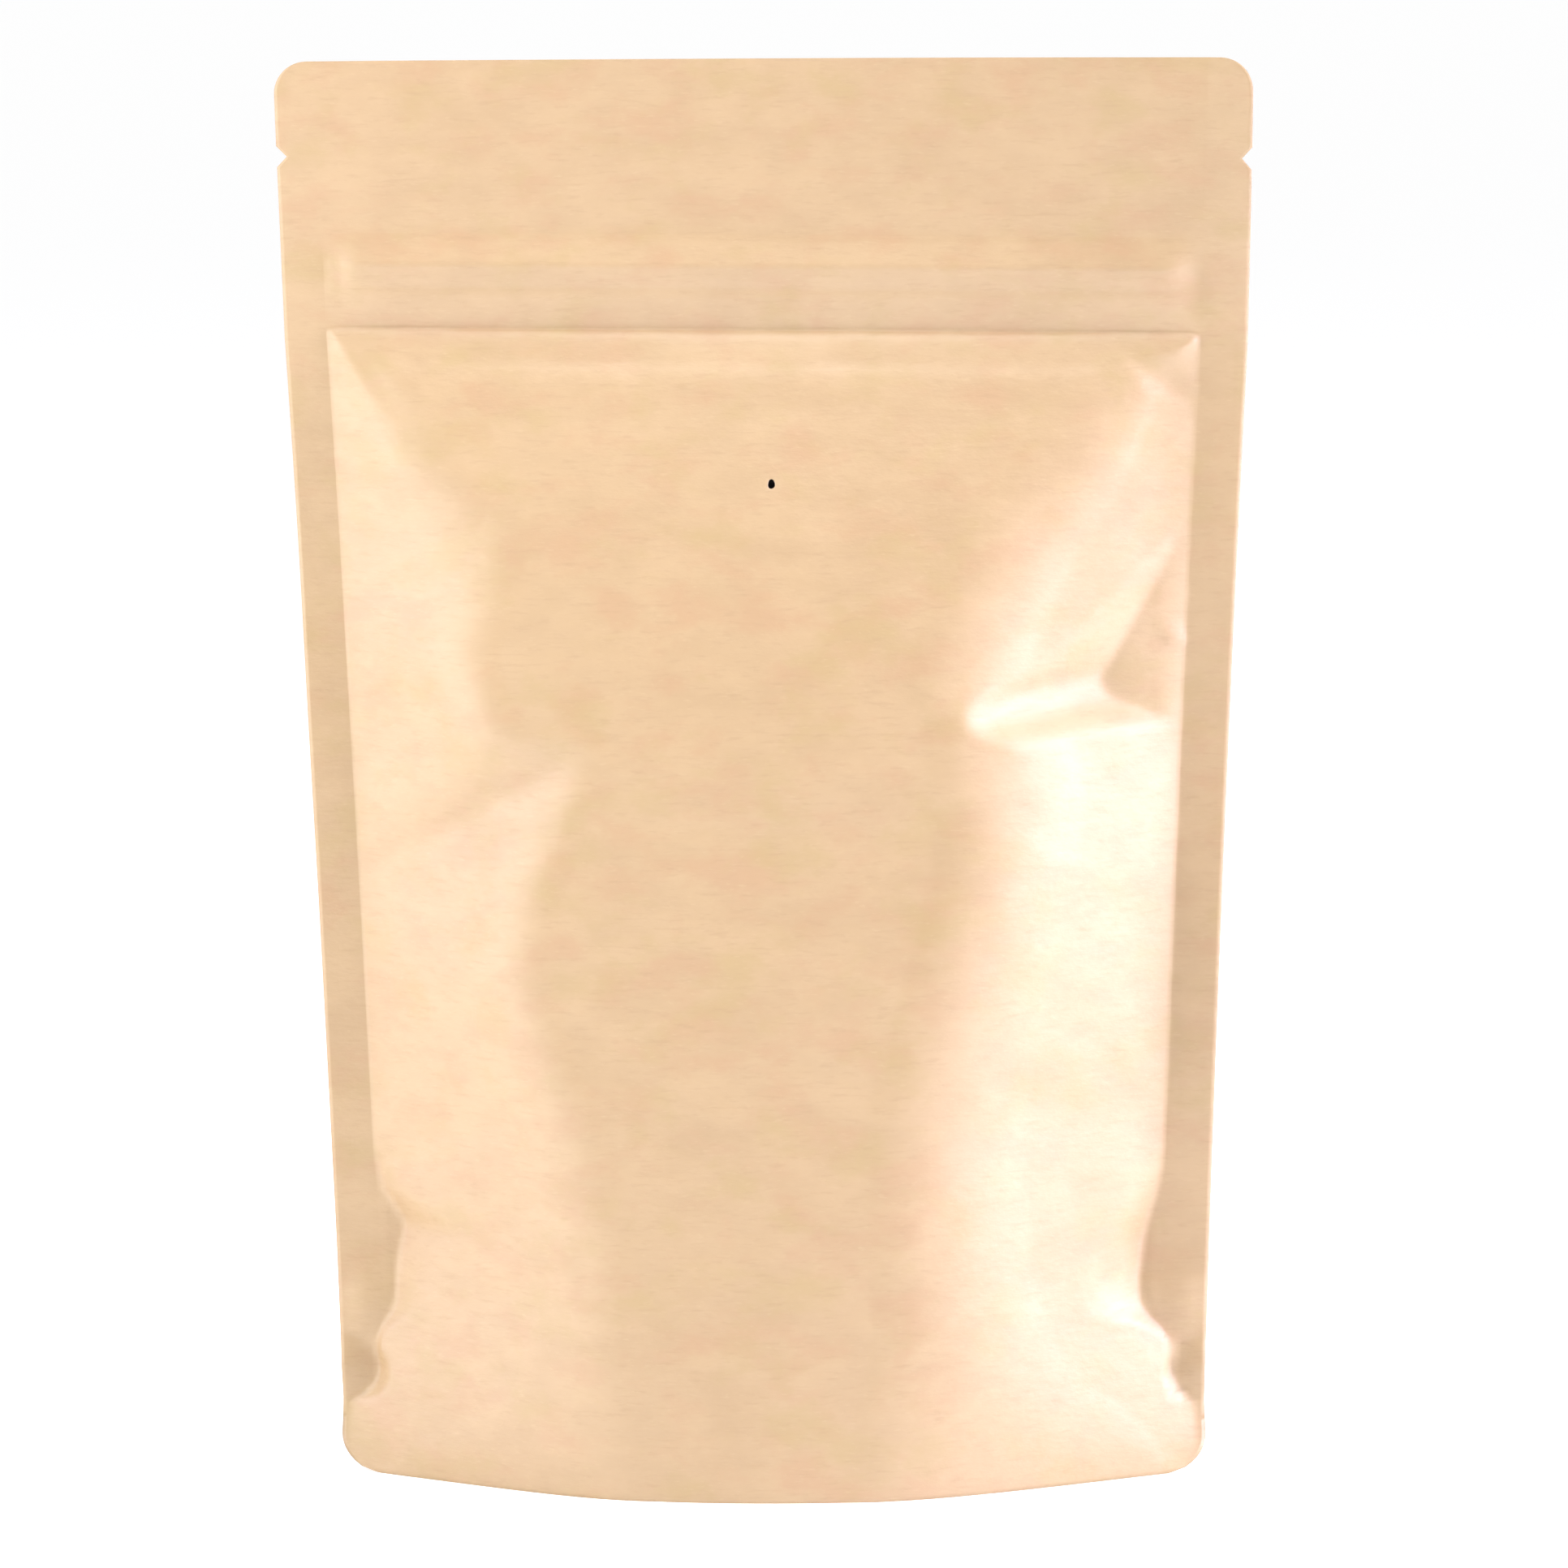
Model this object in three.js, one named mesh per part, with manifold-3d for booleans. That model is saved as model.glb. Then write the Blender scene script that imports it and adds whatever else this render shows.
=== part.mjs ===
// Kraft stand-up pouch, filled and shut. Millimetres, +Z up, front towards -Y.
// The origin is on the ground under the middle of the pouch.
//
// Two paper panels are sealed together down both sides and across the top. The body between the
// side seals is filled out, the flat header above it holds the press-to-close zip, and below a
// folded gusset spreads the two panels so that the pouch stands on their lower edges.

import * as THREE from 'three';
import { ParametricGeometry } from 'three/addons/geometries/ParametricGeometry.js';
import { mergeGeometries, mergeVertices } from 'three/addons/utils/BufferGeometryUtils.js';
import Module from 'manifold-3d';

// ---- outline ----
const WIDTH = 160; // across the header
const HEIGHT = 234;
const SHOULDER_Z = 188; // below this the sides are drawn in by the filling
const SIDE_TAPER = 0.053; // sideways draw-in for each mm below the shoulder
const SIDE_CURVE = 0.00006; // and how it eases off lower down
const TOP_CORNER_R = 5.4;
const FOOT_CORNER_R = 6.2;
const FOOT_FLARE = 0.5; // the freed foot of each side seal springs out a little

// ---- seals, zip, tear notches ----
const SEAL_LEFT = 7;
const SEAL_RIGHT = 7.8;
const FIN = 0.6; // thickness of the sealed flat parts
const ZIP_LOW = 189.7;
const ZIP_RIDGE = 196.6;
const ZIP_HIGH = 204.3;
const ZIP_STAND = 0.9; // how far the zip's ridge stands off each face
const NOTCH_Z = 218;
const NOTCH_HEIGHT = 3.6;
const NOTCH_DEPTH = 1.65;

// ---- filled body, measured from the plane of the side seals to one face ----
const BODY_HALF_DEPTH = 30;
const BELLY_TOP = 196; // height at which the belly curve would close
const BELLY_POWER = 2.2;
const BELLY_ROUND = 0.6;
const SHOULDER_SLOPE = 0.76; // the face leaves the zip at this slope
const SHOULDER_BLEND = 5;
const CROWN = 0.33; // how far the face drops from its middle to the seal, as a share
const FOOT_CROWN = 0.62; // extra crown where the foot is round
const FOOT_REACH = 26; // height over which the round foot fades out
const RIDGE_BLEND = 5; // softness of the ridge between face and side facet

// Where each face turns into its side facets: [height, distance from the middle line].
const RIDGES = {
  front: {
    left: [[0, 33.5], [20, 30.3], [60, 33.3], [86, 41.9], [113, 36.3], [121.5, 31.8], [138, 51], [158, 47.5], [178, 62.5], [189.7, 71.7]],
    right: [[0, 32.5], [20, 30.7], [60, 28.3], [86, 35], [103, 39.6], [126, 37.7], [132, 32.8], [155, 40.3], [183, 60.5], [189.7, 71]],
  },
  back: {
    left: [[0, 33], [20, 30.5], [46, 33], [70, 31.5], [104, 41], [128, 40], [138, 35], [158, 49], [174, 59], [189.7, 71.3]],
    right: [[0, 33], [18, 31], [40, 30], [76, 40], [98, 38], [108, 33], [134, 44], [160, 50], [176, 60], [189.7, 71.5]],
  },
};

// On the front's left the upper face hangs over the lower one along a slanting line.
const OVER_X = 31; // from here outwards
const OVER_Z = 123.6;
const OVER_FALL = 0.62; // drop of that line for each mm outwards

// ---- round spot seals that nip both panels together low on each side ----
const NIP_Z = 17.5;
const NIP_HALF_HEIGHT = 5.7;
const NIP_REACH = 6.2; // measured in from the edge of the pouch
const NIP_WALL = 2.2; // slope of the paper that rises beside it

// ---- standing base ----
const SPLIT_Z = 9; // below this the front and back corners part
const SPLIT_HALF = 4.6; // half the gap between them on the ground
const RIM = 1.2; // thickness of the standing edge
const GUSSET_SEAL = 5; // height of the seal between gusset and face
const GUSSET_CLEAR = 1.3; // the gusset's belly hangs this far off the ground
const GUSSET_RISE = 7.4; // extra rise of the gusset towards the corners

// ---- vent of the valve behind the front panel ----
const VENT_X = 1.4;
const VENT_Z = 165.3;
const VENT_R = 0.6;
const VENT_DEPTH = 1.6;

// ---- mesh density ----
const ACROSS = 34; // strips across a panel, the two seals included
const BODY_LEVELS = 20;

const clamp = (v, lo, hi) => Math.min(hi, Math.max(lo, v));
const smooth = (a, b, v) => {
  const t = clamp((v - a) / (b - a), 0, 1);
  return t * t * (3 - 2 * t);
};

// The lower of two heights, with the fold between them rounded over about r.
function softMin(a, b, r) {
  const h = clamp(0.5 + (0.5 * (b - a)) / r, 0, 1);
  return b + (a - b) * h - r * h * (1 - h) * 0.5;
}

// Half the width of the pouch at height z, before corners and notches.
function sideAt(z) {
  if (z >= SHOULDER_Z) {
    return WIDTH / 2 - Math.pow((HEIGHT - z) / (HEIGHT - SHOULDER_Z), 1.2);
  }
  const drop = SHOULDER_Z - z;
  const flare = FOOT_FLARE * (1 - smooth(4, 12, z));
  return WIDTH / 2 - 1 - SIDE_TAPER * drop + SIDE_CURVE * drop * drop + flare;
}

// The same with the rounded corners and the tear notches taken out.
function edgeAt(z) {
  let half = sideAt(z);
  const up = z - (HEIGHT - TOP_CORNER_R);
  if (up > 0) half -= TOP_CORNER_R - Math.sqrt(Math.max(0, TOP_CORNER_R ** 2 - up * up));
  const down = FOOT_CORNER_R - z;
  if (down > 0) half -= FOOT_CORNER_R - Math.sqrt(Math.max(0, FOOT_CORNER_R ** 2 - down * down));
  const off = Math.abs(z - NOTCH_Z);
  half -= NOTCH_DEPTH * Math.max(0, 1 - off / (NOTCH_HEIGHT / 2));
  return half;
}

// Depth of the face in the middle of the pouch.
function bellyAt(z) {
  const curve = BODY_HALF_DEPTH * Math.pow(Math.max(0, 1 - Math.pow(z / BELLY_TOP, BELLY_POWER)), BELLY_ROUND);
  const shoulder = SHOULDER_SLOPE * (ZIP_LOW - z);
  return softMin(curve, shoulder, SHOULDER_BLEND);
}

// A crease pressed into a face: from the seal (x0, z0) up to its tip (x1, z1), deepest
// half way along, with one wall sloping up and one sloping down away from it.
const creases = {
  front: [
    { x0: 69, z0: 118, x1: 50, z1: 134, deep: 1.4, up: 0.9, down: 0.9 },
    { x0: -65.5, z0: 40, x1: -46, z1: 50, deep: 1.8, up: 0.85, down: 0.9 },
    { x0: 66, z0: 36, x1: 50, z1: 48, deep: 2.0, up: 0.85, down: 0.95 },
  ],
  back: [
    { x0: -68, z0: 124, x1: -36, z1: 138, deep: 2.4, up: 0.7, down: 0.75 },
    { x0: 68, z0: 93, x1: 33, z1: 109, deep: 2.6, up: 0.75, down: 0.7 },
    { x0: 66, z0: 40, x1: 46, z1: 50, deep: 1.8, up: 0.8, down: 0.9 },
  ],
};

function creaseLevel(c, x, z, face) {
  const ax = c.x1 - c.x0;
  const az = c.z1 - c.z0;
  const len = Math.hypot(ax, az);
  const along = ((x - c.x0) * ax + (z - c.z0) * az) / (len * len);
  const acrossIt = ((z - c.z0) * ax - (x - c.x0) * az) / len * Math.sign(ax);
  const t = clamp(along, -0.2, 1.2);
  const depth = c.deep * Math.max(0, 4 * t * (1 - t));
  const px = c.x0 + ax * t;
  const pz = c.z0 + az * t;
  const beyond = Math.max(0, along - 1, -along) * len * 0.6;
  return face(px, pz) - depth + beyond + (acrossIt > 0 ? c.up : c.down) * Math.abs(acrossIt);
}

function ridgeAt(stations, z) {
  let k = 1;
  while (k < stations.length - 1 && z > stations[k][0]) k++;
  const [z0, x0] = stations[k - 1];
  const [z1, x1] = stations[k];
  return x0 + (x1 - x0) * clamp((z - z0) / (z1 - z0), 0, 1);
}

// How far the ridge is carried down where the upper face hangs over the lower one.
function overhangAt(x, z) {
  const line = OVER_Z - OVER_FALL * clamp(-x - OVER_X, 0, 38);
  const gone = z > line ? smooth(0, 26, z - line) : smooth(0, 34, line - z);
  return (OVER_Z - line) * (1 - gone);
}

// Depth of a face before its creases: the crowned face cut by one facet up from each seal.
function plainFace(x, z, name) {
  const open = sideAt(z) - (x < 0 ? SEAL_LEFT : SEAL_RIGHT);
  const crown = CROWN + FOOT_CROWN * Math.exp(-z / FOOT_REACH);
  const crowned = (at) => bellyAt(z) * (1 - crown * Math.pow(at / open, 2.1));
  const level = name === 'front' && x < 0 ? z + overhangAt(x, z) : z;
  const ridge = Math.min(ridgeAt(RIDGES[name][x < 0 ? 'left' : 'right'], level), open - 1.2);
  const facet = (crowned(ridge) / (open - ridge)) * (open - Math.abs(x));
  return softMin(crowned(Math.abs(x)), facet, RIDGE_BLEND);
}

// Distance of one face from the plane of the side seals.
function faceAt(x, z, name) {
  const half = sideAt(z);
  const seal = x < 0 ? SEAL_LEFT : SEAL_RIGHT;
  const inFromSeal = half - Math.abs(x) - seal;
  let d = 0;
  if (z < ZIP_LOW && inFromSeal > 0) {
    d = plainFace(x, z, name);
    const stiff = 30 * (1 - smooth(8, 30, z)); // the sealed foot takes no creases
    for (const c of creases[name]) d = softMin(d, creaseLevel(c, x, z, (px, pz) => plainFace(px, pz, name)) + stiff, 1.5);
    const nipX = (half - Math.abs(x)) / NIP_REACH;
    const nipZ = (z - NIP_Z) / NIP_HALF_HEIGHT;
    const out = (Math.hypot(nipX, nipZ) - 1) * NIP_REACH;
    d = Math.min(d, NIP_WALL * Math.max(0, out) + 0.2);
    d = Math.max(0, d);
  }
  if (z >= ZIP_LOW && z <= ZIP_HIGH && inFromSeal > 0) {
    const side = z < ZIP_RIDGE ? (z - ZIP_LOW) / (ZIP_RIDGE - ZIP_LOW) : (ZIP_HIGH - z) / (ZIP_HIGH - ZIP_RIDGE);
    d = ZIP_STAND * (0.35 + 0.65 * side) * smooth(0, 3, inFromSeal);
  }
  const split = z < SPLIT_Z ? SPLIT_HALF * Math.pow(1 - z / SPLIT_Z, 1.4) : 0;
  return FIN / 2 + Math.max(d, split);
}

// Heights of the mesh rows, from the ground to the top edge.
function rows() {
  const list = [];
  const run = (a, b, n) => {
    for (let i = 0; i < n; i++) list.push(a + ((b - a) * i) / n);
  };
  run(0, SPLIT_Z, SPLIT_ROWS);
  run(SPLIT_Z, 24, 5);
  run(24, 168, BODY_LEVELS);
  run(168, ZIP_LOW, 5);
  list.push(ZIP_LOW, ZIP_LOW + 0.01 + (ZIP_RIDGE - ZIP_LOW) * 0.5, ZIP_RIDGE, (ZIP_RIDGE + ZIP_HIGH) / 2, ZIP_HIGH);
  list.push(210, NOTCH_Z - NOTCH_HEIGHT / 2, NOTCH_Z, NOTCH_Z + NOTCH_HEIGHT / 2, 223.5);
  for (let i = 0; i <= 4; i++) list.push(HEIGHT - TOP_CORNER_R * (1 - Math.sin((i / 4) * Math.PI / 2)));
  return list;
}
const SPLIT_ROWS = 4;
const ROWS = rows();
const LAST = ROWS.length - 1;

// x of mesh column i at height z: the edge, the seal's inner line, then even steps between.
function columnAt(i, z) {
  const half = sideAt(z);
  if (i === 0) return -edgeAt(z);
  if (i === ACROSS) return edgeAt(z);
  const left = -(half - SEAL_LEFT);
  const right = half - SEAL_RIGHT;
  const t = (i - 1) / (ACROSS - 2);
  const even = 2 * t - 1; // columns crowd a little towards the side facets
  const eased = 0.82 * even + 0.18 * Math.sin((even * Math.PI) / 2);
  return left + ((right - left) * (eased + 1)) / 2;
}

function wallPoint(i, j, name, target) {
  const z = ROWS[j];
  const x = columnAt(i, z);
  const d = faceAt(x, z, name);
  return target.set(x, name === 'front' ? -d : d, z);
}

// Points of the underside: each strip runs from the front rim, up over the gusset's folded
// belly, to the back rim. At the two ends it follows the parted corners of the side seals.
const UNDER = 2 * SPLIT_ROWS + 1;
function underPoint(i, m, target) {
  const side = Math.min(m, UNDER - m); // 0 at the rims, SPLIT_ROWS at the middle
  const name = m === side ? 'front' : 'back';
  if (i === 0 || i === ACROSS) return wallPoint(i, side, name, target);
  if (side === 0) return wallPoint(i, 0, name, target);
  const x = columnAt(i, 0);
  const depth = faceAt(x, 0, name);
  const u = Math.abs(x) / sideAt(0);
  const floor = GUSSET_CLEAR + GUSSET_RISE * Math.pow(u, 4);
  const room = Math.min(1, depth / 12);
  const fold = [
    [depth - RIM, 0],
    [depth - RIM - 1.4 * room, Math.max(GUSSET_SEAL * room, floor * 0.5)],
    [depth - RIM - 6.5 * room, floor],
    [depth * 0.15, floor + 0.3],
  ][side - 1];
  return target.set(x, name === 'front' ? -fold[0] : fold[0], fold[1]);
}

function patch(point, nu, nv) {
  const g = new ParametricGeometry(
    (u, v, target) => point(Math.round(u * nu), Math.round(v * nv), target),
    nu,
    nv,
  );
  g.deleteAttribute('normal');
  g.deleteAttribute('uv');
  return g;
}

function pouchShell() {
  const pieces = [
    patch((i, j, t) => wallPoint(i, j, 'front', t), ACROSS, LAST),
    patch((i, j, t) => wallPoint(ACROSS - i, j, 'back', t), ACROSS, LAST),
    // narrow outer faces of the two side seals, above the parted corners
    patch((i, j, t) => wallPoint(0, SPLIT_ROWS + j, i ? 'front' : 'back', t), 1, LAST - SPLIT_ROWS),
    patch((i, j, t) => wallPoint(ACROSS, SPLIT_ROWS + j, i ? 'back' : 'front', t), 1, LAST - SPLIT_ROWS),
    patch((i, j, t) => wallPoint(i, LAST, j ? 'back' : 'front', t), ACROSS, 1),
    patch((i, m, t) => underPoint(ACROSS - i, m, t), ACROSS, UNDER),
  ];
  const joined = mergeVertices(mergeGeometries(pieces), 1e-4);
  const from = joined.index.array;
  const keep = [];
  for (let k = 0; k < from.length; k += 3) {
    const [a, b, c] = [from[k], from[k + 1], from[k + 2]];
    if (a !== b && b !== c && c !== a) keep.push(a, b, c);
  }
  joined.setIndex(keep);
  return joined;
}

const wasm = await Module();
wasm.setup();

function toSolid(geometry) {
  return new wasm.Manifold(
    new wasm.Mesh({
      numProp: 3,
      vertProperties: new Float32Array(geometry.attributes.position.array),
      triVerts: new Uint32Array(geometry.index.array),
    }),
  );
}

function toGeometry(solid) {
  const mesh = solid.getMesh();
  const g = new THREE.BufferGeometry();
  g.setAttribute('position', new THREE.BufferAttribute(new Float32Array(mesh.vertProperties), 3));
  g.setIndex(new THREE.BufferAttribute(new Uint32Array(mesh.triVerts), 1));
  return g;
}

// The vent is a pin hole through the front panel, square to the paper where it sits.
function ventTool() {
  const here = new THREE.Vector3(VENT_X, -faceAt(VENT_X, VENT_Z, 'front'), VENT_Z);
  const above = new THREE.Vector3(VENT_X, -faceAt(VENT_X, VENT_Z + 2, 'front'), VENT_Z + 2);
  const tilt = Math.atan2(above.y - here.y, 2);
  let g = new THREE.CylinderGeometry(VENT_R, VENT_R, 2 * VENT_DEPTH, 12);
  g.deleteAttribute('normal');
  g.deleteAttribute('uv');
  g.rotateX(-tilt);
  g.translate(here.x, here.y, here.z);
  g = mergeVertices(g, 1e-4);
  return g;
}

const geometry = toGeometry(toSolid(pouchShell()).subtract(toSolid(ventTool())));
geometry.computeVertexNormals();

const kraft = new THREE.MeshStandardMaterial({ color: 0xe3bd8f, roughness: 0.55, metalness: 0 });
const pouch = new THREE.Mesh(geometry, kraft);
pouch.name = 'pouch';

const part = new THREE.Group();
part.add(pouch);

export default part;
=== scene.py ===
"""Kraft stand-up pouch: the looks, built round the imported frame. Shape sizes below are in millimetres."""

import math

import bpy
import numpy as np
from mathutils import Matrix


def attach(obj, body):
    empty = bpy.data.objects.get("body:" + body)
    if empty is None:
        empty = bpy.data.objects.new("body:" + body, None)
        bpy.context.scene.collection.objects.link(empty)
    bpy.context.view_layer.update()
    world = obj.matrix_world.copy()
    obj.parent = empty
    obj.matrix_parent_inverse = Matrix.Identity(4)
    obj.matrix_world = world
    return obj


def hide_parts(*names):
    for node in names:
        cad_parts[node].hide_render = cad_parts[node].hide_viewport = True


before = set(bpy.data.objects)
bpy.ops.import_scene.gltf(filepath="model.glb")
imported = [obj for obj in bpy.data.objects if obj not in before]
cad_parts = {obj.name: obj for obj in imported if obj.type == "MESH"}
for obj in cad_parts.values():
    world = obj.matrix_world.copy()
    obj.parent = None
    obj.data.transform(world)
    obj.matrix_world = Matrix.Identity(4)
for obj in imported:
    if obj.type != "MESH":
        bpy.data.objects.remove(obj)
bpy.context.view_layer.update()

MM = 0.001

# ------------------------------------------------------------------ sizes
WIDTH = 160.0
HEIGHT = 234.0
SHOULDER_Z = 188.0
SIDE_TAPER = 0.053
SIDE_CURVE = 0.00006
TOP_CORNER_R = 5.4
FOOT_CORNER_R = 6.2
FOOT_FLARE = 0.5
SEAL = {-1: 7.0, 1: 7.8}  # seal width, left and right
FIN = 0.44
ZIP_LOW, ZIP_RIDGE, ZIP_HIGH = 189.7, 200.2, 204.3
ZIP_STAND = 2.1
NOTCH_Z, NOTCH_HEIGHT, NOTCH_DEPTH = 218.0, 3.6, 1.65
BODY_HALF_DEPTH = 30.0
SPLIT_Z, SPLIT_HALF = 9.0, 1.3
RIM = 0.45
VENT = (1.4, 165.3)
VENT_R = 0.62


def smooth(a, b, v):
    t = np.clip((v - a) / (b - a), 0, 1)
    return t * t * (3 - 2 * t)


def soft_min(a, b, r):
    h = np.clip(0.5 + 0.5 * (b - a) / r, 0, 1)
    return b + (a - b) * h - r * h * (1 - h) * 0.5


def soft_max(a, b, r):
    return -soft_min(-a, -b, r)


def table(stations, sigma):
    """A smooth curve through a few stations (height, value)."""
    z = np.array([s[0] for s in stations], float)
    v = np.array([s[1] for s in stations], float)
    k = np.argsort(z)
    zz = np.linspace(-20, 260, 1401)
    vv = np.interp(zz, z[k], v[k])
    n = int(4 * sigma / 0.2)
    w = np.exp(-0.5 * (np.arange(-n, n + 1) * 0.2 / sigma) ** 2)
    vv = np.convolve(np.pad(vv, n, mode="edge"), w / w.sum(), "valid")
    return lambda q: np.interp(q, zz, vv)


def side_at(z):
    z = np.asarray(z, float)
    drop = SHOULDER_Z - z
    flare = FOOT_FLARE * (1 - smooth(4, 13, z))
    low = WIDTH / 2 - 1 - SIDE_TAPER * drop + SIDE_CURVE * drop * drop + flare
    high = WIDTH / 2 - np.power(np.maximum(0, HEIGHT - z) / (HEIGHT - SHOULDER_Z), 1.2)
    return np.where(z < SHOULDER_Z, low, high)


def edge_at(z):
    z = np.asarray(z, float)
    half = side_at(z)
    up = np.maximum(0, z - (HEIGHT - TOP_CORNER_R))
    half = half - (TOP_CORNER_R - np.sqrt(np.maximum(0, TOP_CORNER_R**2 - up * up)))
    down = np.maximum(0, FOOT_CORNER_R - z)
    half = half - (FOOT_CORNER_R - np.sqrt(np.maximum(0, FOOT_CORNER_R**2 - down * down)))
    off = np.abs(z - NOTCH_Z)
    return half - NOTCH_DEPTH * np.maximum(0, 1 - off / (NOTCH_HEIGHT / 2))


def belly_at(z):
    curve = BODY_HALF_DEPTH * np.power(np.maximum(0, 1 - np.power(np.clip(z, 0, 196) / 196, 2.2)), 0.6)
    below = np.maximum(0, ZIP_LOW - z)
    rise = 0.46 * below + 1.3 * (1 - np.exp(-below / 0.8))
    return soft_min(curve, rise, 13.0 * smooth(0, 14, below) + 0.3 * np.minimum(below, 1) + 1e-3)


# Where the face turns into the side facets: distance from the middle line, by height.
RIDGES = {
    "front": {
        -1: table([(192, 73), (189.4, 71.7), (177.8, 62.5), (167.0, 57.0), (158.0, 47.5), (146.0, 48.5), (138.0, 51.0), (131.5, 48.0), (126.0, 38.5), (121.5, 31.8), (112.8, 36.3),
                   (99.6, 40.8), (86, 41.9), (73, 38.9), (60, 33.3), (38.7, 29.6), (19.7, 30.3), (0, 33.5)], 2.0),
        1: table([(192, 73), (188.2, 70.7), (182.5, 60.5), (172.4, 52.8), (164.7, 46.4), (154.4, 40.3), (144.1, 35.4), (132.3, 32.8), (125.8, 37.7),
                  (112.6, 39.0), (102.1, 39.6), (86.4, 35.0), (73.3, 31.6), (60.1, 28.3), (46.7, 28.9), (19.7, 30.7), (0, 32.5)], 1.8),
    },
    "back": {
        -1: table([(192, 73), (188.5, 71.0), (174, 59), (158, 49), (146, 38.5), (138, 35.0), (128, 40), (104, 41), (88, 34.5),
                   (70, 31.5), (46, 33), (20, 30.5), (0, 33)], 2.2),
        1: table([(192, 73), (189, 71.5), (176, 60), (160, 50), (134, 44), (116, 36.0), (108, 33.0), (98, 38), (76, 40),
                  (58, 34), (40, 30), (18, 31), (0, 33)], 2.2),
    },
}

# Diamond folds pressed into (deep > 0) or standing out of (deep < 0) a face. Each runs from a
# to b; its two flanks reach left and right of that line, and it is deepest at peak.
FOLDS = {
    "front": [
        dict(a=(-68.5, 99.0), b=(-30.0, 123.8), left=20.0, right=13.0, deep=0.4, peak=0.72),
        dict(a=(-71.5, 190.5), b=(-57.0, 173.0), left=3.5, right=3.0, deep=0.45, peak=0.3),
        dict(a=(-53.0, 31.5), b=(-29.0, 44.5), left=7.0, right=9.0, deep=-0.7, peak=0.75),
        dict(a=(-66.0, 52.0), b=(-40.0, 62.0), left=8.0, right=7.0, deep=0.8, peak=0.3),
        dict(a=(-66.5, 146.0), b=(-47.0, 150.5), left=6.0, right=7.0, deep=0.7, peak=0.5),
        dict(a=(71.5, 177.0), b=(58.6, 186.6), left=3.0, right=4.5, deep=0.75, peak=0.55),
        dict(a=(69.3, 136.8), b=(63.0, 142.5), left=2.2, right=2.4, deep=-0.55, peak=0.35),
        dict(a=(67.0, 90.0), b=(36.0, 103.5), left=12.0, right=14.0, deep=0.35, peak=0.6),
        dict(a=(65.5, 57.0), b=(34.0, 68.0), left=12.0, right=12.0, deep=0.3, peak=0.4),
        dict(a=(8.5, 190.5), b=(3.0, 172.0), left=5.5, right=4.0, deep=-0.32, peak=0.35),
        dict(a=(13.5, 190.5), b=(15.0, 176.0), left=3.5, right=5.0, deep=0.28, peak=0.35),
        dict(a=(-24.0, 190.5), b=(-17.0, 174.0), left=5.0, right=5.0, deep=0.3, peak=0.3),
        dict(a=(0.8, 122.0), b=(0.6, 156.0), left=7.0, right=7.0, deep=-0.22, peak=0.6),
    ],
    "back": [
        dict(a=(-70.5, 124.0), b=(-33.0, 139.0), left=10.0, right=6.0, deep=2.4, peak=0.55),
        dict(a=(69.5, 92.0), b=(31.5, 109.5), left=5.5, right=12.0, deep=2.6, peak=0.6),
        dict(a=(-66.0, 58.0), b=(-36.0, 50.0), left=8.0, right=7.0, deep=1.0, peak=0.4),
        dict(a=(69.0, 150.0), b=(48.0, 158.0), left=7.0, right=5.0, deep=1.2, peak=0.5),
        dict(a=(-14.0, 190.5), b=(-9.0, 175.0), left=4.0, right=5.0, deep=-0.3, peak=0.35),
        dict(a=(21.0, 190.5), b=(14.0, 173.0), left=5.0, right=4.0, deep=0.3, peak=0.3),
    ],
}

# Where the flat of each side seal ends in the pocket above the spot seal: distance in from the outline, by height.
POCKETS = {
    "front": {
        -1: table([(10.5, 0.5), (12.5, 3.2), (14.5, 5.3), (17, 5.9), (21, 5.9), (23.2, 6.2), (25, 7.2), (28, 8.4), (33, 9.4), (38, 10.6), (41.5, 11.7), (44, 10.2), (47.5, 8.0), (52, 7.2), (56, 6.0), (60, 2)], 0.6),
        1: table([(10.5, 0.5), (12.5, 3.0), (14.5, 5.0), (17, 5.6), (21, 5.7), (23.2, 6.4), (25.3, 8.4), (28.5, 10.2), (33, 10.9), (38.6, 10.8), (44, 9.6), (50, 8.2), (55, 7.4), (58, 6.0), (62, 2)], 0.7),
    },
    "back": {
        -1: table([(20, 2.0), (23, 6), (28, 9.2), (34, 10.4), (40, 9.6), (48, 7.6), (53, 6.5), (58, 2)], 0.8),
        1: table([(20, 2.0), (23, 5), (28, 8.2), (34, 9.6), (43, 11.2), (47, 9.0), (52, 7.4), (57, 2)], 0.8),
    },
}


OVER_X, OVER_Z, OVER_FALL = 31.0, 123.6, 0.62


def fold(x, z, a, b, left, right, deep, peak):
    ax, az = b[0] - a[0], b[1] - a[1]
    length = math.hypot(ax, az)
    u = ((x - a[0]) * ax + (z - a[1]) * az) / (length * length)
    v = ((z - a[1]) * ax - (x - a[0]) * az) / length
    flank = np.where(v > 0, left, right)
    away = (np.sqrt(v * v + 0.16) - 0.4) / flank
    reach = soft_min(u / peak, (1 - u) / (1 - peak), 0.08)
    m = reach - away
    e = 0.05
    return deep * 0.5 * (m + np.sqrt(m * m + e * e))


# Deep tucks: a flatter facet beside the seal between three corners (x, height, depth), with steep
# walls up from its two inner edges.
TUCKS = {
    "front": [
        dict(corners=((70.6, 161.0, 0.2), (54.0, 131.0, 4.3), (69.0, 123.5, 0.6)), walls=(0.66, 0.9)),
    ],
    "back": [
        dict(corners=((-70.0, 118.0, 0.4), (-50.0, 133.0, 5.4), (-70.6, 152.0, 0.4)), walls=(0.6, 0.7)),
    ],
}


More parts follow.
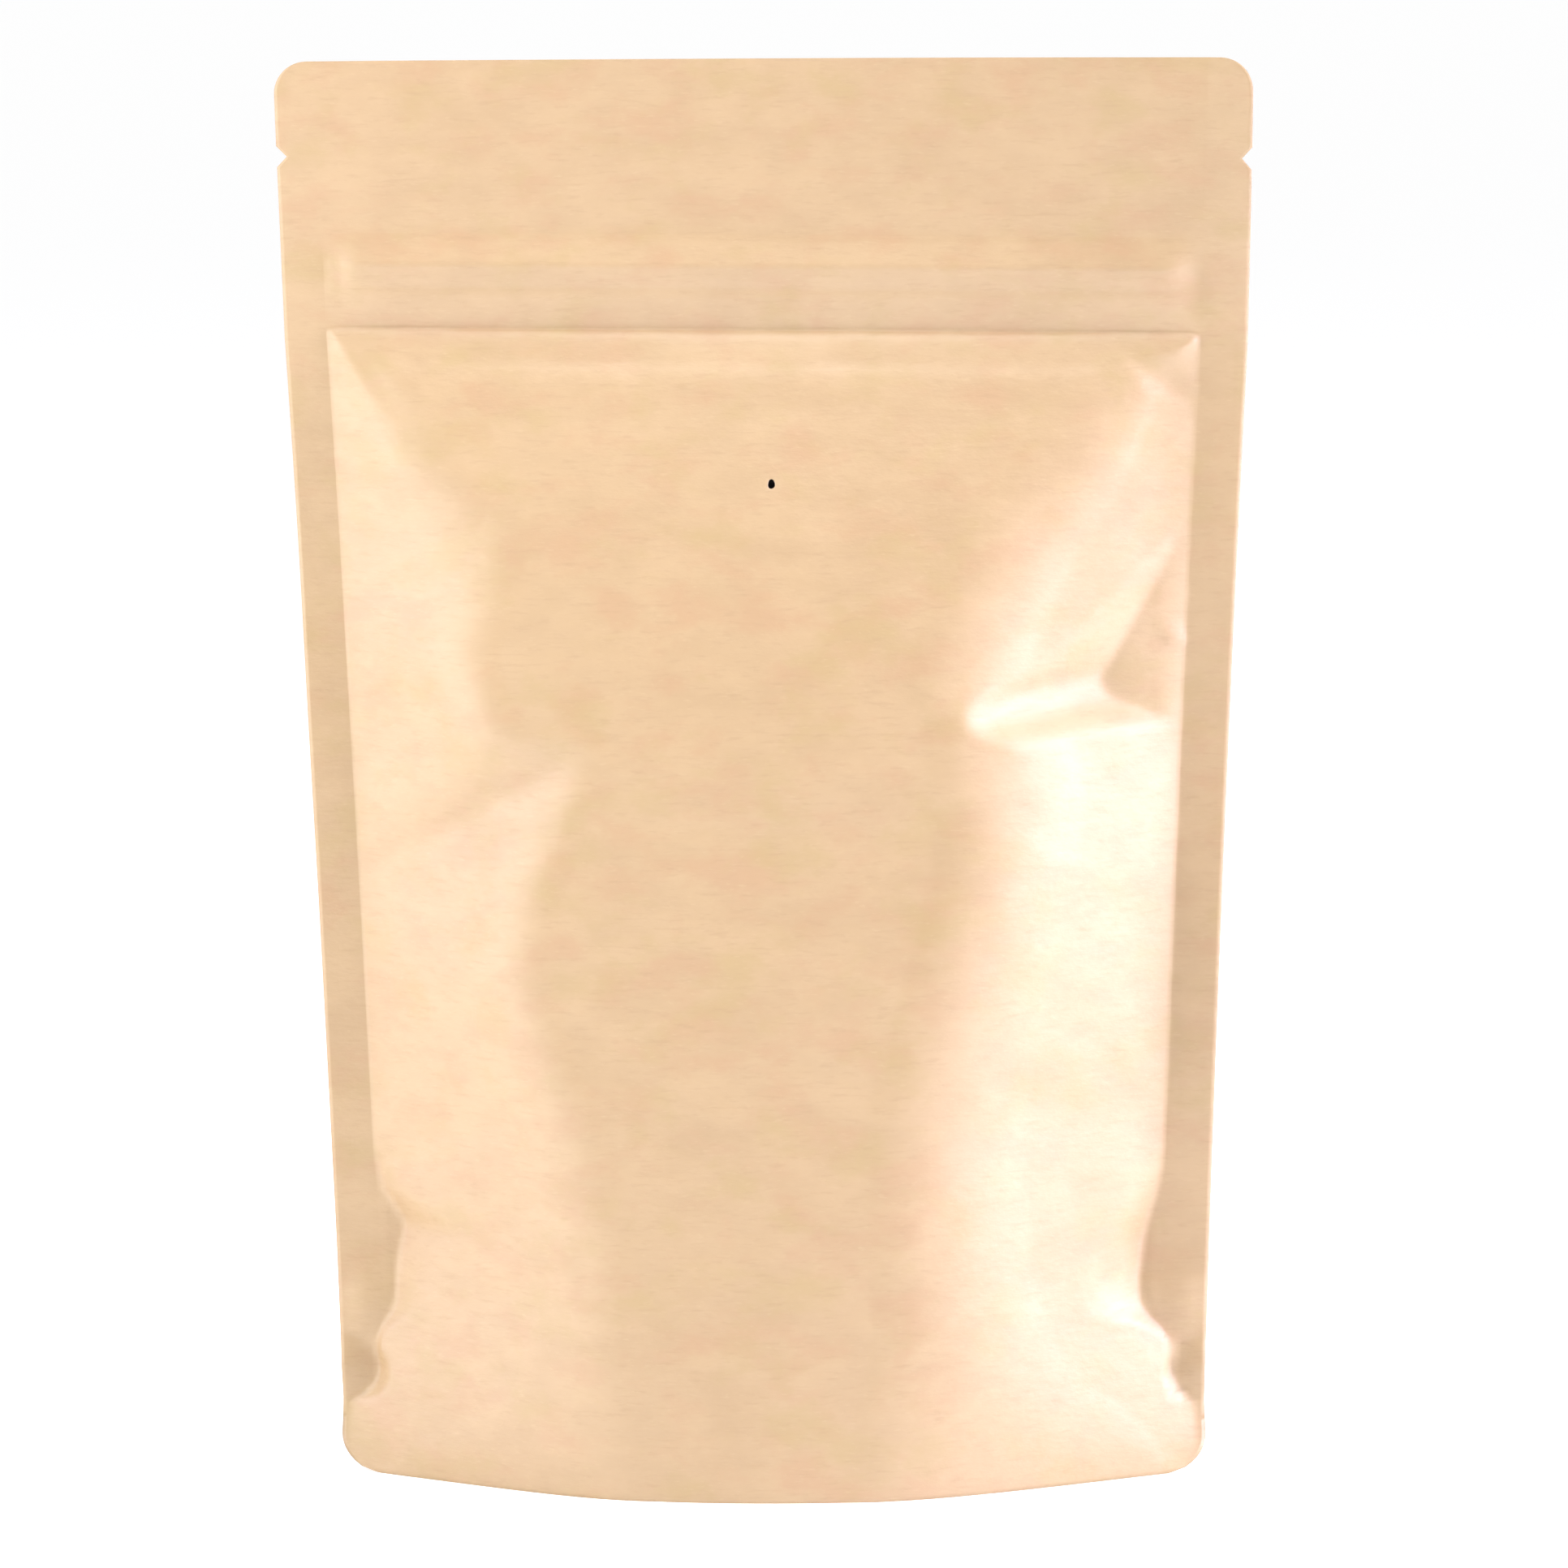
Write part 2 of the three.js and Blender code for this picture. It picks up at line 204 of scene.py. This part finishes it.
def tuck(x, z, corners, walls):
    (x0, z0, d0), (x1, z1, d1), (x2, z2, d2) = corners
    det = (x1 - x0) * (z2 - z0) - (x2 - x0) * (z1 - z0)
    gx = ((d1 - d0) * (z2 - z0) - (d2 - d0) * (z1 - z0)) / det
    gz = ((x1 - x0) * (d2 - d0) - (x2 - x0) * (d1 - d0)) / det
    level = d0 + gx * (x - x0) + gz * (z - z0)
    rise = []
    for (xa, za), (xb, zb), (xo, zo), steep in (((x0, z0), (x1, z1), (x2, z2), walls[0]), ((x1, z1), (x2, z2), (x0, z0), walls[1])):
        length = math.hypot(xb - xa, zb - za)
        nx, nz = (zb - za) / length, -(xb - xa) / length
        sign = -1 if (xo - xa) * nx + (zo - za) * nz > 0 else 1
        rise.append(steep * sign * ((x - xa) * nx + (z - za) * nz))
    return level + soft_max(soft_max(rise[0], rise[1], 5.0), 0, 0.5)


def overhang(x, z):
    """On the left the upper face hangs over the lower one along a slanting line: heights are read as if that line were level."""
    line = OVER_Z - OVER_FALL * np.clip(-x - OVER_X, 0, 38)
    lift = OVER_Z - line
    gone = np.where(z > line, smooth(0, 26, z - line), smooth(0, 34, line - z))
    return lift * (1 - gone)


def waves(x, z, seed, count, short, long):
    """Gentle unevenness of filled paper: a few long crossing waves."""
    rng = np.random.default_rng(seed)
    out = np.zeros_like(x)
    for _ in range(count):
        ang = rng.uniform(0, math.pi)
        lam = rng.uniform(short, long)
        out += np.sin(2 * math.pi * (x * math.cos(ang) + z * math.sin(ang)) / lam + rng.uniform(0, 2 * math.pi))
    return out / math.sqrt(count)


def face_at(x, z, name):
    """Distance of one face from the middle plane of the pouch."""
    x = np.asarray(x, float)
    z = np.asarray(z, float) + 0 * x
    x = x + 0 * z
    out = np.zeros_like(x)
    side = side_at(z)
    body = np.zeros_like(x)
    lead = np.zeros_like(x)
    flat = np.zeros_like(x)
    for s in (-1, 1):
        here = (x < 0) if s < 0 else (x >= 0)
        from_edge = side - np.abs(x)
        foot = 0.3 + (SEAL[s] - 0.3) * smooth(3.0, 38.0, z)
        open_half = side - foot
        t = from_edge - foot
        crown = 0.33 + 0.45 * np.exp(-z / 24)
        face = belly_at(z) * (1 - crown * np.power(np.clip(np.abs(x) / (side - SEAL[s]), 0, 1.2), 2.1))
        level = z + overhang(x, z) if (name, s) == ("front", -1) else z
        ridge = np.clip(RIDGES[name][s](level), 5, open_half - 1.2)
        at_ridge = belly_at(z) * (1 - crown * np.power(ridge / (side - SEAL[s]), 2.1))
        slope = at_ridge / (open_half - ridge)
        d = soft_min(face, slope * t, (5.0 if s < 0 else 7.0 - 3.2 * smooth(116, 136, z)) * smooth(0, 14, t) + 0.6)
        wall = (1.1 + 1.5 * (1 - smooth(20, 28, z))) * (from_edge - POCKETS[name][s](z))
        bulge = 0.02 * from_edge + 0.9 * np.exp(-(((z - 28.0) / 6.0) ** 2)) * smooth(-0.5, 4.5, from_edge)
        low = (z > 9) & (z < 64)
        d = np.where(low, soft_min(d, soft_max(wall, bulge, 0.5), 1.3), d)
        flat = np.where(here, np.where(low, bulge * smooth(9, 13, z) * (1 - smooth(52, 64, z)), 0), flat)
        body = np.where(here, d, body)
        lead = np.where(here, t, lead)
    for k in TUCKS[name]:
        near = (x * k["corners"][1][0] > 0) & (z > 80)
        body = np.where(near, soft_min(body, tuck(x, z, **k), 1.1), body)
    cuts = np.zeros_like(x)
    for f in FOLDS[name]:
        cuts = cuts + fold(x, z, **f)
    quiet = smooth(6, 26, z) * smooth(0, 10, lead) * smooth(0, 14, ZIP_LOW - z)
    cuts = cuts * np.where(z < 30, smooth(6, 26, z), 1.0)
    d = body - cuts
    seed = 11 if name == "front" else 23
    d = d + quiet * (0.16 * waves(x, z, seed, 7, 24, 60) + 0.05 * waves(x, z, seed + 1, 9, 9, 20))
    least = np.minimum(0.10 * lead, 1.4) * smooth(2, 22, ZIP_LOW - z)
    d = np.where((z > 62) & (lead > 0), soft_max(d, least, 0.4 * smooth(0, 8, ZIP_LOW - z) + 1e-3), d)
    d = np.where((z < ZIP_LOW) & (lead > 0), np.maximum(d, flat), flat)
    # nip of the round spot seals
    reach = np.where(x < 0, 6.3, 5.5)
    nx = (side - np.abs(x)) / reach
    nz = (z - 17.5) / 5.7
    outside = (np.sqrt(nx * nx + nz * nz) - 1) * 5.8
    d = np.where(z < 40, np.minimum(d, 2.0 * np.maximum(0, outside)) + 0.17 * np.clip(-outside, 0, 6), d)
    # zip band
    rise = np.where(z < ZIP_RIDGE, (z - ZIP_LOW) / (ZIP_RIDGE - ZIP_LOW), (ZIP_HIGH - z) / (ZIP_HIGH - ZIP_RIDGE))
    band = (z >= ZIP_LOW - 1e-6) & (z <= ZIP_HIGH)
    rise = np.clip(rise, 0, 1)
    rise = rise - 0.14 * np.exp(-(((z - 196.5) / 0.8) ** 2))
    zip_d = (0.10 * (z > ZIP_RIDGE) + (0.85 - 0.10 * (z > ZIP_RIDGE)) * rise) * ZIP_STAND * 1.1 * smooth(-0.2, 6.0, lead)
    d = np.where(band & (lead > -0.2), zip_d, d)
    crush = np.where(x < 0, np.exp(-(((side + x - 8.2) / 0.55) ** 2)), np.exp(-(((side - x - 6.6) / 0.7) ** 2)))
    crush = crush * smooth(ZIP_LOW + 1.6, ZIP_LOW + 3.6, z) * (1 - smooth(ZIP_HIGH - 3.4, ZIP_HIGH - 1.8, z))
    d = d + 0.2 * crush * (1 + 0.5 * np.sin(z * 1.9 + np.sign(x)))
    above = (z > ZIP_HIGH) & (z < ZIP_HIGH + 1.0) & (lead > -0.2)
    d = np.where(above, 0.10 * 1.1 * ZIP_STAND * smooth(-0.2, 6.0, lead) * (1 - smooth(0, 1.0, z - ZIP_HIGH)), d)
    split = np.where(z < SPLIT_Z, SPLIT_HALF * np.power(np.clip(1 - z / SPLIT_Z, 0, 1), 1.4), 0)
    d = np.where(z < SPLIT_Z, soft_max(d, split, 0.8 * smooth(0, 0.6, split) + 1e-3), d)
    # valve disc behind the front panel
    if name == "front":
        r = np.hypot(x - VENT[0] - 0.4, z - VENT[1] + 0.2)
        d = d + 0.10 * (1 - smooth(10.2, 11.4, r)) - 0.10 * np.exp(-(((r - 7.2) / 0.35) ** 2)) + 0.05 * np.exp(-(((r - 7.9) / 0.5) ** 2))
    return FIN / 2 + d


def middle_at(x, z):
    """The whole pouch isn't dead flat: its header bows a little and the side seals wander."""
    up = smooth(186, HEIGHT, z)
    bow = up * (0.6 - 2.6 * (x / 80.0) ** 2 - 3.0 * np.maximum(0, x / 80.0) ** 3)
    lean = -0.9 * up
    edge = smooth(58, 76, np.abs(x)) * smooth(20, 40, z)
    wander = edge * (0.55 * np.sin(z / 19.0 + 0.8 * np.sign(x)) + 0.3 * np.sin(z / 9.7 + 2.0 * np.sign(x)))
    curl = np.where(x < 0, -0.03, 0.075 + 0.05 * smooth(195, 215, z)) * np.maximum(0, np.abs(x) - (side_at(z) - 7.4)) * smooth(50, 70, z)
    return bow + lean + wander - curl


def slant(x, z):
    """The zip was sealed on a touch out of square, right end low."""
    share = smooth(150, ZIP_LOW, z) * (1 - smooth(ZIP_HIGH, HEIGHT, z))
    return -0.0100 * x * share


# ------------------------------------------------------------------ mesh
def spaced(*runs):
    out = []
    for a, b, n in runs:
        out += list(np.linspace(a, b, n, endpoint=False))
    out.append(runs[-1][1])
    return np.array(out)


ROWS = spaced(
    (0, 9, 12), (9, 26, 22), (26, 54, 26), (54, 104, 38), (104, 140, 34), (140, 178, 30), (178, ZIP_LOW - 2.4, 12), (ZIP_LOW - 2.4, ZIP_LOW, 9),
    (ZIP_LOW, ZIP_LOW + 0.6, 2), (ZIP_LOW + 0.6, ZIP_RIDGE, 14), (ZIP_RIDGE, ZIP_HIGH, 7), (ZIP_HIGH, ZIP_HIGH + 1, 3), (ZIP_HIGH + 1, 216.2, 8), (216.2, NOTCH_Z, 4),
    (NOTCH_Z, 219.8, 4), (219.8, HEIGHT - TOP_CORNER_R, 6),
)
ROWS = np.concatenate([ROWS, HEIGHT - TOP_CORNER_R * (1 - np.sin(np.linspace(0, 1, 13)[1:] * math.pi / 2))])
LIP_ROWS = 12  # rows below the split of the bottom corners
SEAL_Q = np.array([0, 0.1, 0.3, 0.5, 0.7, 0.84, 0.92, 0.97, 1.0])
INNER = 150


def columns():
    """Column kinds: (side, share of the seal) or the share across the open width."""
    left = [("L", q) for q in SEAL_Q[:-1]]
    even = np.linspace(-1, 1, INNER + 1)
    eased = 0.80 * even + 0.20 * np.sin(even * math.pi / 2)
    mid = [("M", (e + 1) / 2) for e in eased]
    right = [("R", q) for q in SEAL_Q[:-1][::-1]]
    return left + mid + right


COLS = columns()


def xs_at(z):
    side, edge = float(side_at(z)), float(edge_at(z))
    left, right = -(side - SEAL[-1]), side - SEAL[1]
    out = []
    for kind, q in COLS:
        if kind == "L":
            out.append(-edge + q * (left + edge))
        elif kind == "R":
            out.append(edge - q * (edge - right))
        else:
            out.append(left + q * (right - left))
    return np.array(out)


X = np.stack([xs_at(z) for z in ROWS])  # rows x columns
Z = np.repeat(ROWS[:, None], X.shape[1], axis=1)
NR, NC = X.shape


def wall(name):
    d = face_at(X, Z, name)
    y = middle_at(X, Z) + (-d if name == "front" else d)
    return np.stack([X, y, Z + slant(X, Z)], axis=-1)


FRONT, BACK = wall("front"), wall("back")

verts, faces, dark = [], [], []


def add(points):
    start = len(verts)
    verts.extend([tuple(map(float, p)) for p in points])
    return start


front0 = add(FRONT.reshape(-1, 3))
back0 = add(BACK.reshape(-1, 3))


def fi(j, i):
    return front0 + j * NC + i


def bi(j, i):
    return back0 + j * NC + i


# window in the front grid for the vent
row_c = int(np.argmin(np.abs(ROWS - VENT[1])))
col_c = int(np.argmin(np.abs(X[row_c] - VENT[0])))
j0, j1, i0, i1 = row_c - 2, row_c + 2, col_c - 3, col_c + 3
for j in range(NR - 1):
    for i in range(NC - 1):
        if not (j0 <= j < j1 and i0 <= i < i1):
            faces.append((fi(j, i), fi(j, i + 1), fi(j + 1, i + 1), fi(j + 1, i)))
        faces.append((bi(j, i + 1), bi(j, i), bi(j + 1, i), bi(j + 1, i + 1)))
for j in range(LIP_ROWS, NR - 1):
    faces.append((bi(j, 0), fi(j, 0), fi(j + 1, 0), bi(j + 1, 0)))
    faces.append((fi(j, NC - 1), bi(j, NC - 1), bi(j + 1, NC - 1), fi(j + 1, NC - 1)))
for i in range(NC - 1):
    faces.append((fi(NR - 1, i), fi(NR - 1, i + 1), bi(NR - 1, i + 1), bi(NR - 1, i)))

# vent: rings from the window's border in to the hole, then a short bore whose walls and end cap get a near-black colour
# as painted shade of the hole's inside
border = (
    [fi(j0, i) for i in range(i0, i1)]
    + [fi(j, i1) for j in range(j0, j1)]
    + [fi(j1, i) for i in range(i1, i0, -1)]
    + [fi(j, i0) for j in range(j1, j0, -1)]
)
bp = np.array([verts[k] for k in border])
ang = np.arctan2(bp[:, 2] - VENT[1], bp[:, 0] - VENT[0])
shape_r = VENT_R * (1 + 0.10 * np.cos(2 * ang + math.pi) + 0.05 * np.cos(3 * ang + 1.0))
rim = np.stack([VENT[0] + shape_r * np.cos(ang), VENT[1] + 1.12 * shape_r * np.sin(ang)], axis=1)
previous = border
for share in (0.45, 0.75, 0.92, 1.0):
    px = bp[:, 0] * (1 - share) + rim[:, 0] * share
    pz = bp[:, 2] * (1 - share) + rim[:, 1] * share
    py = middle_at(px, pz) - face_at(px, pz, "front")
    if share == 1.0:
        py = py + 0.06
    start = add(np.stack([px, py, pz], axis=1))
    ring = [start + k for k in range(len(border))]
    for k in range(len(border)):
        m = (k + 1) % len(border)
        faces.append((previous[k], previous[m], ring[m], ring[k]))
    previous = ring
base_y = float(np.mean([verts[k][1] for k in previous]))
for depth, grow in ((0.25, 1.0), (1.3, 1.05)):
    pts = [(VENT[0] + (verts[k][0] - VENT[0]) * grow, verts[k][1] + depth, VENT[1] + (verts[k][2] - VENT[1]) * grow) for k in ring]
    start = add(pts)
    now = [start + k for k in range(len(pts))]
    for k in range(len(pts)):
        m = (k + 1) % len(pts)
        dark.append(len(faces))
        faces.append((previous[k], previous[m], now[m], now[k]))
    previous = now
dark.append(len(faces))
faces.append(tuple(previous))

# underside: from the front rim over the gusset to the back rim
UNDER = 2 * LIP_ROWS + 1


def under_rows(i):
    """Points m = 1 .. UNDER-1 of the strip under column i."""
    x = float(X[0, i])
    front, back = -float(FRONT[0, i, 1]), float(BACK[0, i, 1])
    u = abs(x) / 66.0
    floor = 1.2 + 8.4 * u**5
    pts = []
    for m in range(1, UNDER):
        side = min(m, UNDER - m)
        depth = front if m == side else back
        sign = -1 if m == side else 1
        room = min(1.0, depth / 13.0)
        seal_h = (4.6 + 4.5 * u**3) * (0.35 + 0.65 * room)
        # stations in from the rim: skirt thickness, up the skirt, then the rolled belly
        q = side / LIP_ROWS
        if side == 1:
            inset, h = RIM, 0.0
        elif side <= 4:
            h = seal_h * (side - 1) / 3.0
            inset = RIM + 0.12 * (side - 1) * room
        else:
            g = (side - 4) / (LIP_ROWS - 4.0)
            inset = RIM + 0.4 * room + (depth - RIM - 0.4 * room) * g**1.6
            away = (depth * g**1.6)
            h = floor + (seal_h - floor) * math.exp(-((away / (3.6 * room + 0.05)) ** 1.3))
            h += 0.5 * math.exp(-((depth - inset) / 0.9) ** 2) * room
        if side > 1:
            inset += 0.55 * depth * float(smooth(52.0, 64.0, abs(x)))
        pull = float(smooth(58.0, 65.0, abs(x)) * smooth(1.5, 5.0, h))
        y = sign * max((depth - inset) * (1 - pull), 0.02 * (LIP_ROWS + 1 - side) * 0.2 + 0.03)
        pts.append((x, y, h))
    return pts


grid = []
for i in range(NC):
    if i in (0, NC - 1):
        grid.append([fi(m, i) if m <= LIP_ROWS else bi(UNDER - m, i) for m in range(UNDER + 1)])
    else:
        start = add(under_rows(i))
        grid.append([fi(0, i)] + [start + k for k in range(UNDER - 1)] + [bi(0, i)])
under_faces = []
for i in range(NC - 1):
    for m in range(UNDER):
        quad = (grid[i + 1][m], grid[i][m], grid[i][m + 1], grid[i + 1][m + 1])
        under_faces.append(len(faces))
        faces.append(quad)

mesh = bpy.data.meshes.new("pouch_skin")
mesh.from_pydata([(x * MM, y * MM, z * MM) for x, y, z in verts], [], faces)
mesh.validate()
skin = bpy.data.objects.new("kraft_pouch", mesh)
bpy.context.scene.collection.objects.link(skin)
for p in mesh.polygons:
    p.use_smooth = True


# ------------------------------------------------------------------ materials
def new_material(name):
    m = bpy.data.materials.new(name)
    m.use_nodes = True
    nt = m.node_tree
    nt.nodes.clear()
    out = nt.nodes.new("ShaderNodeOutputMaterial")
    bsdf = nt.nodes.new("ShaderNodeBsdfPrincipled")
    nt.links.new(bsdf.outputs[0], out.inputs[0])
    return m, nt, bsdf


def kraft_material():
    m, nt, bsdf = new_material("kraft_paper")
    N, L = nt.nodes, nt.links
    coord = N.new("ShaderNodeTexCoord")

    def mapped(scale, rot=(0, 0, 0)):
        mp = N.new("ShaderNodeMapping")
        mp.inputs["Scale"].default_value = scale
        mp.inputs["Rotation"].default_value = rot
        L.new(coord.outputs["Object"], mp.inputs["Vector"])
        return mp.outputs[0]

    def noise(vector, scale, detail, rough=0.5):
        n = N.new("ShaderNodeTexNoise")
        n.inputs["Scale"].default_value = scale
        n.inputs["Detail"].default_value = detail
        n.inputs["Roughness"].default_value = rough
        L.new(vector, n.inputs["Vector"])
        return n.outputs["Fac"]

    def ramp(fac, lo, hi, a, b):
        r = N.new("ShaderNodeMapRange")
        r.inputs["From Min"].default_value = lo
        r.inputs["From Max"].default_value = hi
        r.inputs["To Min"].default_value = a
        r.inputs["To Max"].default_value = b
        L.new(fac, r.inputs["Value"])
        return r.outputs[0]

    def mix(fac, a, b, mode="MIX"):
        n = N.new("ShaderNodeMix")
        n.data_type = "RGBA"
        n.blend_type = mode
        if isinstance(fac, float):
            n.inputs[0].default_value = fac
        else:
            L.new(fac, n.inputs[0])
        for k, v in ((6, a), (7, b)):
            if isinstance(v, tuple):
                n.inputs[k].default_value = v
            else:
                L.new(v, n.inputs[k])
        return n.outputs[2]

    base = (0.350, 0.234, 0.119, 1)
    blotch = noise(mapped((0.55, 0.55, 1.0)), 170, 5, 0.62)
    clouds = noise(mapped((1, 1, 1.5)), 30, 3, 0.5)
    streak = noise(mapped((0.16, 0.16, 1.0)), 1500, 3, 0.6)
    fibre = noise(mapped((0.22, 0.22, 1.0), (0, 0.22, 0)), 2600, 2, 0.55)
    tint = noise(mapped((0.6, 0.6, 1.0)), 150, 4, 0.6)
    olive = noise(mapped((0.7, 0.7, 1.0), (0.3, 0.1, 0)), 120, 4, 0.6)
    c = mix(ramp(clouds, 0.35, 0.65, 0, 1), (base[0] * 0.965, base[1] * 0.955, base[2] * 0.94, 1), (base[0] * 1.025, base[1] * 1.035, base[2] * 1.05, 1))
    c = mix(ramp(blotch, 0.36, 0.64, 0, 0.75), c, (base[0] * 1.10, base[1] * 1.12, base[2] * 1.15, 1))
    c = mix(ramp(tint, 0.50, 0.66, 0, 0.6), c, (base[0] * 1.0, base[1] * 0.90, base[2] * 0.90, 1))
    c = mix(ramp(olive, 0.52, 0.68, 0, 0.55), c, (base[0] * 0.94, base[1] * 0.98, base[2] * 0.80, 1))
    c = mix(ramp(streak, 0.55, 0.75, 0, 0.45), c, (base[0] * 0.86, base[1] * 0.82, base[2] * 0.78, 1))
    c = mix(ramp(fibre, 0.60, 0.78, 0, 0.5), c, (base[0] * 1.14, base[1] * 1.2, base[2] * 1.26, 1))
    L.new(c, bsdf.inputs["Base Color"])
    rough = ramp(streak, 0.3, 0.7, 0.47, 0.56)
    L.new(rough, bsdf.inputs["Roughness"])
    bsdf.inputs["IOR"].default_value = 1.5
    bsdf.inputs["Specular IOR Level"].default_value = 0.82
    bump = N.new("ShaderNodeBump")
    bump.inputs["Strength"].default_value = 0.35
    bump.inputs["Distance"].default_value = 0.00006
    L.new(streak, bump.inputs["Height"])
    bump2 = N.new("ShaderNodeBump")
    bump2.inputs["Strength"].default_value = 0.5
    bump2.inputs["Distance"].default_value = 0.0004
    L.new(blotch, bump2.inputs["Height"])
    L.new(bump2.outputs[0], bump.inputs["Normal"])
    L.new(bump.outputs[0], bsdf.inputs["Normal"])
    return m


# Near-black colour for the vent bore and its end cap: painted shade standing in for the darkness inside the hole.
def hole_shade_material():
    m, nt, bsdf = new_material("vent_hole_painted_shade")
    bsdf.inputs["Base Color"].default_value = (0.012, 0.009, 0.007, 1)
    bsdf.inputs["Roughness"].default_value = 0.8
    n = nt.nodes.new("ShaderNodeTexNoise")
    n.inputs["Scale"].default_value = 3000
    r = nt.nodes.new("ShaderNodeMapRange")
    r.inputs["To Min"].default_value = 0.7
    r.inputs["To Max"].default_value = 0.9
    nt.links.new(n.outputs["Fac"], r.inputs["Value"])
    nt.links.new(r.outputs[0], bsdf.inputs["Roughness"])
    return m


mesh.materials.append(kraft_material())
mesh.materials.append(hole_shade_material())
# the vent bore faces take the painted-shade material
for k in dark:
    mesh.polygons[k].material_index = 1

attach(skin, "root")
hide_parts("pouch")

# ------------------------------------------------------------------ floor, light, camera
floor_mesh = bpy.data.meshes.new("floor")
S = 30.0
floor_mesh.from_pydata([(-S, -S, 0), (S, -S, 0), (S, S, 0), (-S, S, 0)], [], [(0, 1, 2, 3)])
floor = bpy.data.objects.new("floor", floor_mesh)
bpy.context.scene.collection.objects.link(floor)
fm, fnt, fb = new_material("pale_floor")
fb.inputs["Base Color"].default_value = (0.92, 0.92, 0.92, 1)
fb.inputs["Roughness"].default_value = 0.12
fb.inputs["Specular IOR Level"].default_value = 0.25
fb.inputs["Emission Color"].default_value = (1, 1, 1, 1)
fb.inputs["Emission Strength"].default_value = 0.56
floor_mesh.materials.append(fm)

scene = bpy.context.scene
scene.view_settings.view_transform = "Standard"
scene.view_settings.look = "None"
scene.view_settings.exposure = 0.0
scene.view_settings.gamma = 1.0

world = bpy.data.worlds.new("studio")
scene.world = world
world.use_nodes = True
bg = world.node_tree.nodes["Background"]
bg.inputs[0].default_value = (1.0, 1.0, 1.0, 1)
bg.inputs[1].default_value = 0.42


def softbox(name, azimuth, elevation, distance, size, power, target=(0, 0, 0.115), colour=(1, 1, 1)):
    """Azimuth 0 is straight in front of the pouch, positive to its right as seen."""
    a, e = math.radians(azimuth), math.radians(elevation)
    light = bpy.data.lights.new(name, "AREA")
    light.shape = "RECTANGLE"
    light.size, light.size_y = size
    light.energy = power
    light.color = colour
    o = bpy.data.objects.new(name, light)
    pos = (
        target[0] + distance * math.cos(e) * math.sin(a),
        target[1] - distance * math.cos(e) * math.cos(a),
        target[2] + distance * math.sin(e),
    )
    o.location = pos
    d = [target[k] - pos[k] for k in range(3)]
    from mathutils import Vector

    o.rotation_euler = Vector(d).to_track_quat("-Z", "Y").to_euler()
    scene.collection.objects.link(o)
    return o


softbox("right_box", 84, 6, 1.1, (0.8, 1.3), 43, colour=(0.92, 0.91, 1.2))
softbox("right_high_box", 66, 48, 1.1, (0.5, 0.5), 3)
softbox("edge_box", -86, 8, 1.1, (0.5, 1.2), 7.5, colour=(0.98, 0.94, 1.24))
softbox("left_box", -58, 15, 0.5, (0.25, 0.5), 2.2, target=(0, 0, 0.14))
softbox("high_box", 0, 80, 1.2, (1.3, 0.6), 15.5)
softbox("back_box", 178, 35, 1.6, (1.6, 1.2), 6)

# camera, fitted to the outline of the pouch in the photograph
PSI, ELEV, ROLL = math.radians(2.55), math.radians(6.93), math.radians(0.41)
XT, ZT, DIST, FPX = 2.55 * MM, 114.59 * MM, 1.6, 11962.5
from mathutils import Matrix, Vector

fwd = Vector((-math.cos(ELEV) * math.sin(PSI), math.cos(ELEV) * math.cos(PSI), -math.sin(ELEV)))
right = Vector((math.cos(PSI), math.sin(PSI), 0))
up = right.cross(fwd)
pos = Vector((XT * math.cos(PSI), XT * math.sin(PSI), ZT)) - fwd * DIST
right_r = right * math.cos(ROLL) - up * math.sin(ROLL)
up_r = up * math.cos(ROLL) + right * math.sin(ROLL)
cam_data = bpy.data.cameras.new("camera")
cam = bpy.data.objects.new("camera", cam_data)
rot = Matrix((right_r, up_r, -fwd)).transposed().to_4x4()
cam.matrix_world = Matrix.Translation(pos) @ rot
cam_data.sensor_width = 36.0
cam_data.sensor_fit = "HORIZONTAL"
cam_data.lens = FPX * 36.0 / 1932.0
cam_data.clip_start, cam_data.clip_end = 0.05, 100
scene.collection.objects.link(cam)
scene.camera = cam
